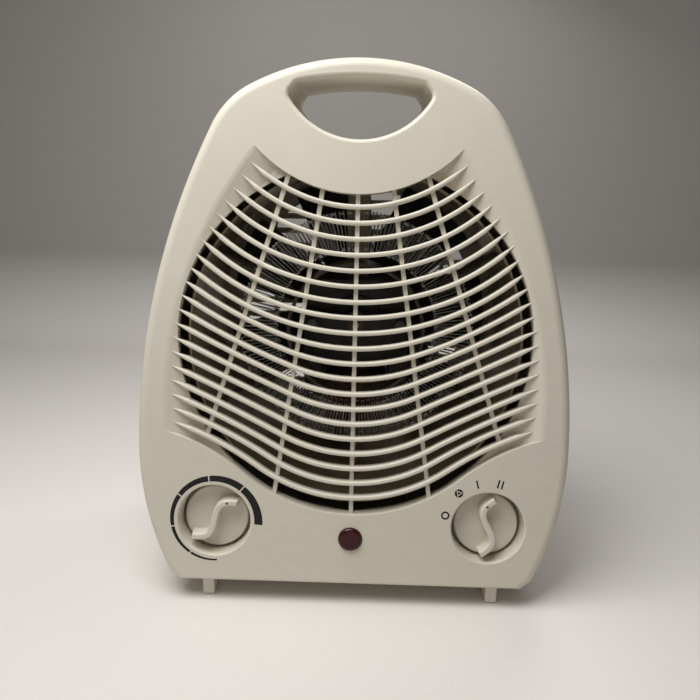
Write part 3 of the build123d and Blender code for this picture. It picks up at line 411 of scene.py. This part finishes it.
def bright_metal(name, colour, roughness):
    """Bright metal with fine drawn lines and dull patches."""
    made = Finish(name, colour, roughness, metallic=1.0)
    made.mottle(shade(colour, 0.72), scale=260.0, amount=0.6)
    made.uneven_gloss(low=roughness - 0.08, high=roughness + 0.14, scale=420.0)
    made.grain(scale=3200.0, distance=0.00001, strength=0.4)
    return made.material


def dark_moulding(name, colour, roughness):
    """Dark moulded plastic with light dust."""
    made = Finish(name, colour, roughness)
    made.mottle(dusted(colour, 0.05), scale=70.0, amount=0.5, start=0.5, end=0.8)
    made.uneven_gloss(low=roughness - 0.08, high=roughness + 0.12, scale=90.0)
    made.grain(scale=1800.0, distance=0.00003, strength=0.4)
    return made.material


class HEATER_OT_stage(bpy.types.Operator):
    """Pale table top with a backdrop, two soft lights and the camera"""

    bl_idname = "heater.stage"
    bl_label = "Stage"

    sweep_steps = 16

    def table_top(self, look, colours):
        """Pale floor that bends up into a grey backdrop."""
        clear_selection()
        middle = (0.0, look.wall_back - look.floor_edge / 2, 0.0)
        bpy.ops.mesh.primitive_plane_add(size=look.floor_edge, location=middle)
        floor = named("floor_sweep")
        apply_place(floor)
        edit(floor)
        pick(floor, lambda co: co.y > look.wall_back - SAME_PLACE)
        rise = (0.0, 0.0, look.wall_height)
        bpy.ops.mesh.extrude_region_move(TRANSFORM_OT_translate={"value": rise})
        pick(floor, lambda co: co.y > look.wall_back - SAME_PLACE and co.z < SAME_PLACE)
        bpy.ops.mesh.bevel(offset=look.wall_rise, segments=self.sweep_steps, affect="EDGES")
        close()
        bpy.ops.object.shade_smooth()
        paint = Finish("table_top", colours.floor, roughness=0.5)
        heights = paint.node("ShaderNodeSeparateXYZ")
        paint.link(paint.places, heights.inputs["Vector"])
        climb = paint.span(heights.outputs["Z"], low=0.0, high=1.0, start=0.0, end=look.wall_rise)
        paint.drift(colours.wall, climb)
        paint.grain(scale=700.0, distance=0.00005, strength=0.3)
        floor.data.materials.append(paint.material)

    def soft_light(self, name, place, edge, watts):
        """Square light that faces the heater's foot and stays out of the picture."""
        clear_selection()
        bpy.ops.object.light_add(type="AREA", location=place)
        light = named(name)
        light.data.size = edge
        light.data.energy = watts
        light.rotation_euler = Vector(place).to_track_quat("Z", "Y").to_euler()
        light.visible_camera = False

    def even_light(self, scene, look, colours):
        """Weak light from all sides."""
        world = bpy.data.worlds.new("even_light")
        world.use_nodes = True
        sky = world.node_tree.nodes["Background"]
        sky.inputs["Color"].default_value = (*colours.sky, 1.0)
        sky.inputs["Strength"].default_value = look.sky
        scene.world = world

    def front_camera(self, scene, look):
        """Camera at the photograph's viewing angle."""
        clear_selection()
        bpy.ops.object.camera_add(location=look.eye)
        camera = named("camera")
        turn = Matrix.Rotation(look.yaw, 4, "Z")
        turn = turn @ Matrix.Rotation(math.pi / 2 - look.pitch, 4, "X")
        turn = turn @ Matrix.Rotation(look.roll, 4, "Z")
        camera.matrix_world = Matrix.Translation(look.eye) @ turn
        camera.data.sensor_width = SENSOR_WIDTH
        camera.data.lens = look.lens
        camera.data.clip_start = NEAREST_VIEW
        scene.camera = camera

    def execute(self, context):
        look = context.scene.heater_stage
        colours = context.scene.heater_colours
        self.table_top(look, colours)
        self.soft_light("key_light", look.key_place, look.key_size, look.key_power)
        self.soft_light("rear_light", look.rear_place, look.rear_size, look.rear_power)
        self.even_light(context.scene, look, colours)
        self.front_camera(context.scene, look)
        context.scene.view_settings.view_transform = "Standard"
        return {"FINISHED"}


class HEATER_OT_case(bpy.types.Operator):
    """Cream plastic of the two shells, the feet and the two dials"""

    bl_idname = "heater.case"
    bl_label = "Case and dials"

    def execute(self, context):
        colours = context.scene.heater_colours
        shell = moulded_cream("shell_plastic", colours.case, colours.case_aged)
        knob = moulded_cream("knob_plastic", colours.knob, colours.case_aged)
        spindle = moulded_cream("spindle_plastic", colours.spindle, colours.case_aged)
        dress(shell, "front_cover", "rear_cover")
        dress(shell, "front_left_foot", "front_right_foot", "rear_left_foot", "rear_right_foot")
        dress(knob, "thermostat_knob", "mode_knob")
        dress(spindle, "thermostat_spindle", "mode_spindle")
        return {"FINISHED"}


def ink_material(colour):
    """Pad-printed ink, slightly broken by the grain under it."""
    made = Finish("dial_ink", colour, roughness=0.7)
    made.mottle(dusted(colour, 0.012), scale=900.0, amount=0.7)
    made.uneven_gloss(low=0.62, high=0.8, scale=600.0)
    made.shader.inputs["Specular IOR Level"].default_value = 0.25
    made.grain(scale=2600.0, distance=0.00003, strength=0.5)
    return made.material


def print_on(piece, place, thickness, body, material):
    """Give a flat mark its ink thickness and lay it on a dial's face."""
    apply_modifier(piece, "SOLIDIFY", thickness=thickness, offset=1.0)
    piece.matrix_world = place
    apply_place(piece)
    settle(piece, body, material)


class HEATER_OT_dial_marks(bpy.types.Operator):
    """Printed temperature scale, printed mode marks and the pointer dots of the two dials"""

    bl_idname = "heater.dial_marks"
    bl_label = "Dial marks"

    # Angles on the dials in degrees, from the right up over the top
    scale_angles = (274.0, 234.6, 189.6, 143.7, 96.6, 50.0, -4.0)
    strip_origin = 270.0
    mark_angles = {"off": 164.0, "fan": 130.5, "low": 105.5, "high": 77.5}
    pointer_angles = {"thermostat_turn": 54.0, "mode_turn": 94.0}

    # Bars of the two heat marks, and shares of a mark's half height, its stroke and the dot's radius
    bar_counts = {"low": 1, "high": 2}
    bar_spread = 1.2825
    fan_bore = 0.92
    fan_blade = 0.5
    dot_step = 0.3

    # How finely the marks are divided
    strip_cuts = 7
    ring_sides = 40
    fan_cuts = 7
    dot_sides = 20

    def temperature_scale(self, sizes, ink):
        """A tapering strip in six steps, bent round the thermostat's dial."""
        first, last = self.scale_angles[0], self.scale_angles[-1]
        radius = sizes.scale_radius

        def along(angle):
            return radius * math.radians(angle - self.strip_origin)

        def width(angle):
            share = (first - angle) / (first - last)
            return sizes.scale_thin + (sizes.scale_thick - sizes.scale_thin) * share

        strip = open_sheet("temperature_scale")
        for start, end in zip(self.scale_angles, self.scale_angles[1:]):
            near = along(start) - (sizes.scale_gap / 2 if start != first else 0.0)
            far = along(end) + (sizes.scale_gap / 2 if end != last else 0.0)
            middle = (near + far) / 2
            grow = width(end) / width(start)
            bpy.ops.mesh.primitive_plane_add(size=1.0)
            bpy.ops.transform.resize(
                value=(near - far, width(start), 1.0), center_override=(0.0, 0.0, 0.0)
            )
            bpy.ops.transform.translate(value=(middle, -width(start) / 2, 0.0))
            bpy.ops.mesh.subdivide(number_cuts=1)
            pick(strip, lambda co: abs(co.x - far) < SAME_PLACE)
            bpy.ops.transform.resize(value=(1.0, grow, 1.0), center_override=(far, 0.0, 0.0))
            pick(strip, lambda co: abs(co.x - middle) < SAME_PLACE)
            bpy.ops.transform.resize(
                value=(1.0, (1.0 + grow) / 2, 1.0), center_override=(middle, 0.0, 0.0)
            )
        bpy.ops.mesh.select_all(action="SELECT")
        bpy.ops.mesh.subdivide(number_cuts=self.strip_cuts)
        close()
        total = math.radians(first - last)
        apply_modifier(strip, "SIMPLE_DEFORM", deform_method="BEND", deform_axis="Z", angle=total)
        edit(strip)
        bpy.ops.transform.translate(value=(0.0, -radius, 0.0))
        close()
        print_on(strip, dial_face("thermostat_turn"), sizes.print_thick, "housing", ink)

    def off_ring(self, half, stroke):
        """Ring, made from a disc whose inside is cut away."""
        bpy.ops.mesh.primitive_circle_add(vertices=self.ring_sides, radius=half, fill_type="NGON")
        bpy.ops.mesh.select_mode(type="FACE")
        bpy.ops.mesh.inset(thickness=stroke, depth=0.0)
        bpy.ops.mesh.delete(type="FACE")
        bpy.ops.mesh.select_mode(type="VERT")

    def fan_sign(self, half):
        """Disc with a three-sided bore and a three-sided blade in it."""
        bpy.ops.mesh.primitive_circle_add(vertices=3, radius=half * self.fan_bore, fill_type="NOTHING")
        bpy.ops.mesh.subdivide(number_cuts=self.fan_cuts)
        rim_sides = 3 * (self.fan_cuts + 1)
        bpy.ops.mesh.primitive_circle_add(vertices=rim_sides, radius=half, fill_type="NOTHING")
        bpy.ops.mesh.select_all(action="SELECT")
        bpy.ops.mesh.bridge_edge_loops()
        bpy.ops.mesh.primitive_circle_add(vertices=3, radius=half * self.fan_blade, fill_type="NGON")
        bpy.ops.mesh.subdivide(number_cuts=1)

    def heat_bars(self, half, stroke, count):
        """Upright bars side by side."""
        for index in range(count):
            offset = (2 * index + 1 - count) * self.bar_spread * stroke
            bpy.ops.mesh.primitive_plane_add(size=1.0)
            bpy.ops.transform.resize(value=(stroke, 2 * half, 1.0), center_override=(0.0, 0.0, 0.0))
            bpy.ops.transform.translate(value=(offset, 0.0, 0.0))
            bpy.ops.mesh.subdivide(number_cuts=2)

    def beside(self, joint_name, degrees, reach, lift=0.0):
        """Place at an angle and a distance from a dial's middle, with its top pointing away from it."""
        turned = dial_face(joint_name) @ Matrix.Rotation(math.radians(degrees) - math.pi / 2, 4, "Z")
        return turned @ Matrix.Translation((0.0, reach, lift))

    def mode_mark(self, name, sizes, ink):
        """One mark beside the mode dial, drawn upright and turned to its place."""
        half = sizes.mark_height / 2
        mark = open_sheet("mode_mark_" + name)
        if name in self.bar_counts:
            self.heat_bars(half, sizes.mark_stroke, self.bar_counts[name])
        elif name == "fan":
            self.fan_sign(half)
        else:
            self.off_ring(half, sizes.mark_stroke)
        close()
        reach = sizes.off_radius if name == "off" else sizes.mark_radius
        place = self.beside("mode_turn", self.mark_angles[name], reach)
        print_on(mark, place, sizes.print_thick, "housing", ink)

    def pointer_dot(self, joint_name, sizes, ink):
        """Small inked dimple on the crest of a dial's grip."""
        clear_selection()
        bpy.ops.mesh.primitive_circle_add(vertices=self.dot_sides, radius=sizes.dot_radius, fill_type="NGON")
        dot = named(joint_name.replace("_turn", "_pointer_dot"))
        edit(dot)
        bpy.ops.mesh.select_mode(type="FACE")
        step = sizes.dot_radius * self.dot_step
        bpy.ops.mesh.inset(thickness=step, depth=-sizes.print_thick)
        bpy.ops.mesh.inset(thickness=step, depth=-sizes.print_thick / 2)
        close()
        degrees = self.pointer_angles[joint_name]
        place = self.beside(joint_name, degrees, sizes.dot_reach, 2 * sizes.print_thick)
        print_on(dot, place, sizes.print_thick, joint_name.replace("_turn", "_dial"), ink)

    def execute(self, context):
        sizes = context.scene.heater_sizes
        ink = ink_material(context.scene.heater_colours.ink)
        self.temperature_scale(sizes, ink)
        for name in self.mark_angles:
            self.mode_mark(name, sizes, ink)
        for joint_name in self.pointer_angles:
            self.pointer_dot(joint_name, sizes, ink)
        return {"FINISHED"}


class HEATER_OT_indicator(bpy.types.Operator):
    """Red lens and the small lamp behind it"""

    bl_idname = "heater.indicator"
    bl_label = "Indicator"

    def execute(self, context):
        colours = context.scene.heater_colours
        lens = Finish("red_lens", colours.lens, roughness=0.3)
        lens.mottle(shade(colours.lens, 0.3), scale=130.0, amount=0.9)
        lens.uneven_gloss(low=0.22, high=0.4, scale=220.0)
        lens.grain(scale=500.0, distance=0.00003, strength=0.35)
        lens.shader.inputs["Specular IOR Level"].default_value = 0.3
        lens.shader.inputs["Transmission Weight"].default_value = 0.35
        lens.shader.inputs["IOR"].default_value = 1.49
        dress(lens.material, "indicator_lens")
        lamp = Finish("lamp_glass", colours.lamp, roughness=0.08)
        lamp.mottle(colours.lamp_tint, scale=120.0, amount=0.5)
        lamp.uneven_gloss(low=0.05, high=0.14, scale=200.0)
        lamp.shader.inputs["Transmission Weight"].default_value = 0.6
        dress(lamp.material, "indicator_lamp")
        return {"FINISHED"}


class HEATER_OT_heating_wires(bpy.types.Operator):
    """Two zigzag heating wires with round bends, in place of the flat ones of the frame"""

    bl_idname = "heater.heating_wires"
    bl_label = "Heating wires"

    # How finely a wire is divided, and where its lowest bend is cut, as a share of that bend
    wire_sides = 6
    bend_steps = 5
    cut_share = 0.05

    # Length in metres over which the first wire wavers, and how much longer it is on the next
    waver_length = 0.0045
    waver_growth = 0.001

    def hairpins(self, name, middle, sizes):
        """One hairpin drawn out, bent round twice and copied round the fan's axis, left open."""
        half = math.pi / (2 * sizes.hairpins)
        outer_bend = sizes.wire_outer * math.sin(half)
        inner_bend = sizes.wire_inner * math.sin(half)
        outer_height = (sizes.wire_outer - outer_bend) * math.cos(half)
        inner_height = sizes.wire_inner * math.cos(half)
        rise = Vector((inner_bend - outer_bend, 0.0, outer_height - inner_height))
        fall = Vector((rise.x, 0.0, -rise.z))
        start = middle + Vector((-inner_bend, 0.0, inner_height))
        clear_selection()
        bpy.ops.mesh.primitive_circle_add(
            vertices=self.wire_sides, radius=sizes.wire_radius, fill_type="NOTHING", location=start
        )
        wire = named(name)
        apply_place(wire)
        edit(wire)
        bpy.ops.mesh.extrude_region_move(TRANSFORM_OT_translate={"value": rise})
        bend = middle + Vector((0.0, 0.0, outer_height))
        bpy.ops.mesh.spin(steps=self.bend_steps, angle=math.pi, center=bend, axis=(0.0, 1.0, 0.0))
        bpy.ops.mesh.extrude_region_move(TRANSFORM_OT_translate={"value": fall})
        bend = middle + Matrix.Rotation(2 * half, 4, "Y") @ Vector((0.0, 0.0, inner_height))
        bpy.ops.mesh.spin(steps=self.bend_steps, angle=-math.pi, center=bend, axis=(0.0, 1.0, 0.0))
        bpy.ops.mesh.select_all(action="SELECT")
        bpy.ops.mesh.spin(
            steps=sizes.hairpins - 1,
            dupli=True,
            angle=2 * math.pi * (sizes.hairpins - 1) / sizes.hairpins,
            center=middle,
            axis=(0.0, 1.0, 0.0),
        )
        bpy.ops.mesh.select_all(action="SELECT")
        bpy.ops.mesh.remove_doubles(threshold=sizes.wire_radius / 4)
        self.open_tails(wire, middle, outer_height, outer_bend, sizes)
        return wire

    def open_tails(self, wire, middle, outer_height, outer_bend, sizes):
        """Cut the lowest bend open and draw its two ends down to their tabs."""
        reach = outer_bend + 2 * sizes.wire_radius
        cut = middle.z - outer_height - outer_bend * self.cut_share
        pick(wire, lambda co: co.z < cut and abs(co.x - middle.x) < reach)
        bpy.ops.mesh.delete(type="VERT")
        rim = middle.z - outer_height + sizes.wire_radius
        pick(wire, lambda co: co.z < rim and abs(co.x - middle.x) < reach)
        drop = (0.0, 0.0, outer_height - sizes.wire_tail)
        bpy.ops.mesh.extrude_region_move(TRANSFORM_OT_translate={"value": drop})

    def bent_wire(self, name, node, index, sizes, material):
        """One wire of many hairpins, bent a little unevenly as by hand."""
        low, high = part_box(node)
        wire = self.hairpins(name, Vector((fan_axis.x, (low.y + high.y) / 2, fan_axis.z)), sizes)
        close()
        cloud = bpy.data.textures.new(name + "_waver", "CLOUDS")
        cloud.noise_scale = self.waver_length + self.waver_growth * index
        cloud.cloud_type = "COLOR"
        apply_modifier(
            wire,
            "DISPLACE",
            texture=cloud,
            texture_coords="GLOBAL",
            direction="RGB_TO_XYZ",
            strength=sizes.wire_waver,
        )
        bpy.ops.object.shade_smooth()
        settle(wire, "housing", material)
        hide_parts(node)

    def execute(self, context):
        sizes = context.scene.heater_sizes
        colour = context.scene.heater_colours.wire
        bright = Finish("resistance_wire", colour, roughness=0.3, metallic=0.35)
        bright.mottle(shade(colour, 0.6), scale=260.0, amount=0.6)
        bright.uneven_gloss(low=0.2, high=0.42, scale=420.0)
        bright.grain(scale=3200.0, distance=0.00001, strength=0.4)
        self.bent_wire("front_wire_bends", "front_heating_wire", 0, sizes, bright.material)
        self.bent_wire("rear_wire_bends", "rear_heating_wire", 1, sizes, bright.material)
        return {"FINISHED"}


class HEATER_OT_element_holder(bpy.types.Operator):
    """Mica sleeve and vanes, brass tabs and the two heat guards"""

    bl_idname = "heater.element_holder"
    bl_label = "Element holder"

    def execute(self, context):
        colours = context.scene.heater_colours
        mica = Finish("pressed_mica", colours.mica, roughness=0.35)
        mica.mottle(colours.mica_fleck, scale=420.0, amount=0.8, start=0.5, end=0.72)
        mica.uneven_gloss(low=0.22, high=0.5, scale=380.0)
        mica.grain(scale=700.0, distance=0.00006, strength=0.6)
        vanes = [name for name in frame["nodes"] if name.startswith("mica_vane")]
        dress(mica.material, "mica_sleeve", *vanes)
        tab_brass = bright_metal("tab_brass", colours.brass, roughness=0.32)
        dress(tab_brass, "element_terminals")
        guard_shell = bright_metal("guard_shell", colours.zinc, roughness=0.36)
        dress(guard_shell, "thermal_cutout", "thermal_fuse")
        return {"FINISHED"}


class HEATER_OT_motor(bpy.types.Operator):
    """Stacked cores, bobbin with its wound turns, brackets, bearings, shaft, screws and nuts"""

    bl_idname = "heater.motor"
    bl_label = "Motor"

    corner_steps = 4

    def winding_turns(self, sizes, material):
        """One rounded turn of wire, repeated along the bobbin on top of the winding."""
        low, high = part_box("coil_winding")
        middle = (low + high) / 2
        clear_selection()
        bpy.ops.mesh.primitive_plane_add(size=1.0, rotation=(0.0, math.pi / 2, 0.0))
        turns = named("winding_turns")
        apply_place(turns)
        edit(turns)
        bpy.ops.transform.resize(
            value=(1.0, high.y - low.y, high.z - low.z), center_override=(0.0, 0.0, 0.0)
        )
        bpy.ops.mesh.bevel(offset=sizes.turn_corner, segments=self.corner_steps, affect="VERTICES")
        bpy.ops.mesh.select_all(action="SELECT")
        bpy.ops.mesh.delete(type="ONLY_FACE")
        bpy.ops.object.mode_set(mode="OBJECT")
        bpy.ops.object.convert(target="CURVE")
        turns.data.bevel_depth = sizes.turn_radius
        turns.data.bevel_resolution = 1
        bpy.ops.object.convert(target="MESH")
        turns = bpy.context.object
        turns.location = (low.x + sizes.turn_radius, middle.y, middle.z)
        apply_place(turns)
        count = int((high.x - low.x) / (2 * sizes.turn_radius))
        apply_modifier(
            turns,
            "ARRAY",
            count=count,
            use_relative_offset=False,
            use_constant_offset=True,
            constant_offset_displace=(2 * sizes.turn_radius, 0.0, 0.0),
        )
        edit(turns)
        close()
        bpy.ops.object.shade_smooth()
        settle(turns, "housing", material)

    def execute(self, context):
        colours = context.scene.heater_colours
        sizes = context.scene.heater_sizes
        # Near-black core sheets: painted shade for the unlit inside of the case
        core = Finish("core_sheets", colours.core, roughness=0.45, metallic=0.4)
        core.mottle(shade(colours.core, 1.8), scale=130.0, amount=0.5)
        core.uneven_gloss(low=0.36, high=0.6, scale=200.0)
        core.bands("Y", scale=310.0, distance=0.00012)
        dress(core.material, "stator_core", "rotor_core")
        # Darkened copper: painted shade for the inside of the case
        enamel = Finish("enamelled_wire", colours.copper, roughness=0.28, metallic=0.6)
        enamel.mottle(shade(colours.copper, 0.6), scale=300.0, amount=0.6)
        enamel.uneven_gloss(low=0.2, high=0.4, scale=350.0)
        enamel.polish(coat=0.4, coat_roughness=0.15)
        dress(enamel.material, "coil_winding")
        self.winding_turns(sizes, enamel.material)
        nylon = moulded_cream("bobbin_nylon", colours.nylon, colours.case_aged)
        dress(nylon, "coil_bobbin")
        # Motor brackets in near-black: painted shade for the unlit inside of the case
        bracket_painted_shade = dark_moulding("bracket_painted_shade", colours.black, roughness=0.5)
        dress(bracket_painted_shade, "front_motor_bracket", "rear_motor_bracket")
        # Darkened bronze: partly painted shade for the inside of the case
        bronze = bright_metal("bearing_bronze", colours.bronze, roughness=0.45)
        dress(bronze, "front_bearing", "rear_bearing")
        dress(bright_metal("ground_steel", colours.zinc, roughness=0.22), "motor_shaft")
        # Motor screws and nuts: zinc at 0.3 of its colour as painted shade for the inside of the case, and
        # rougher
        dull_shaded_zinc = bright_metal("dull_shaded_zinc", shade(colours.zinc, 0.3), roughness=0.45)
        dress(dull_shaded_zinc, "motor_screws", "motor_nuts")
        return {"FINISHED"}


class HEATER_OT_fan(bpy.types.Operator):
    """Black moulded fan"""

    bl_idname = "heater.fan"
    bl_label = "Fan"

    def execute(self, context):
        fan_plastic = dark_moulding("fan_plastic", context.scene.heater_colours.fan, roughness=0.4)
        dress(fan_plastic, "fan_impeller")
        return {"FINISHED"}


class HEATER_OT_air_duct(bpy.types.Operator):
    """Duct, motor strap, rivets and the screws of duct and case"""

    bl_idname = "heater.air_duct"
    bl_label = "Air duct and screws"

    def execute(self, context):
        colours = context.scene.heater_colours
        duct_plating = plated_steel("duct_plating", colours.sheet, colours.sheet_stain)
        dress(duct_plating, "air_duct", "motor_strap")
        dress(bright_metal("screw_plating", colours.zinc, roughness=0.36), "case_screws")
        # Duct screws and strap rivets: zinc at 0.3 of its colour as painted shade that keeps them dark
        # inside the case, and rougher
        dull_shaded_plating = bright_metal("dull_shaded_plating", shade(colours.zinc, 0.3), roughness=0.5)
        dress(dull_shaded_plating, "duct_screws", "strap_rivets")
        return {"FINISHED"}


class HEATER_OT_controls(bpy.types.Operator):
    """Thermostat, rotary switch, their plates and the cord bush"""

    bl_idname = "heater.controls"
    bl_label = "Controls and bush"

    def execute(self, context):
        colours = context.scene.heater_colours
        plate_plating = plated_steel("plate_plating", colours.zinc, colours.sheet, roughness=0.4)
        dress(plate_plating, "thermostat_plate", "mode_plate")
        switch_plastic = dark_moulding("switch_plastic", colours.black, roughness=0.45)
        dress(switch_plastic, "switch_body", "thermostat_body")
        spring_brass = bright_metal("spring_brass", colours.brass, roughness=0.34)
        dress(spring_brass, "bimetal_strip", "switch_terminals")
        dress(dark_moulding("bush_rubber", colours.black, roughness=0.55), "cord_gland")
        return {"FINISHED"}


class HEATER_PT_parts(bpy.types.Panel):
    """Lists the heater's pieces and what a user can change on them"""

    bl_idname = "HEATER_PT_parts"
    bl_label = "Fan Heater"
    bl_space_type = "VIEW_3D"
    bl_region_type = "UI"
    bl_category = "Heater"

    def draw(self, context):
        layout = self.layout
        for maker in makers:
            layout.operator(maker.bl_idname)
        for group in (context.scene.heater_sizes, context.scene.heater_colours, context.scene.heater_stage):
            box = layout.box()
            for name in group.__annotations__:
                box.prop(group, name)


makers = (
    HEATER_OT_stage,
    HEATER_OT_case,
    HEATER_OT_dial_marks,
    HEATER_OT_indicator,
    HEATER_OT_heating_wires,
    HEATER_OT_element_holder,
    HEATER_OT_motor,
    HEATER_OT_fan,
    HEATER_OT_air_duct,
    HEATER_OT_controls,
)
groups = (HeaterColours, HeaterSizes, HeaterStage)


def register():
    for part in (*groups, *makers, HEATER_PT_parts):
        bpy.utils.register_class(part)
    bpy.types.Scene.heater_colours = PointerProperty(type=HeaterColours)
    bpy.types.Scene.heater_sizes = PointerProperty(type=HeaterSizes)
    bpy.types.Scene.heater_stage = PointerProperty(type=HeaterStage)


def unregister():
    del bpy.types.Scene.heater_stage
    del bpy.types.Scene.heater_sizes
    del bpy.types.Scene.heater_colours
    for part in reversed((*groups, *makers, HEATER_PT_parts)):
        bpy.utils.unregister_class(part)


def main():
    register()
    bpy.ops.heater.stage()
    bpy.ops.heater.case()
    bpy.ops.heater.dial_marks()
    bpy.ops.heater.indicator()
    bpy.ops.heater.heating_wires()
    bpy.ops.heater.element_holder()
    bpy.ops.heater.motor()
    bpy.ops.heater.fan()
    bpy.ops.heater.air_duct()
    bpy.ops.heater.controls()


if __name__ == "__main__":
    main()
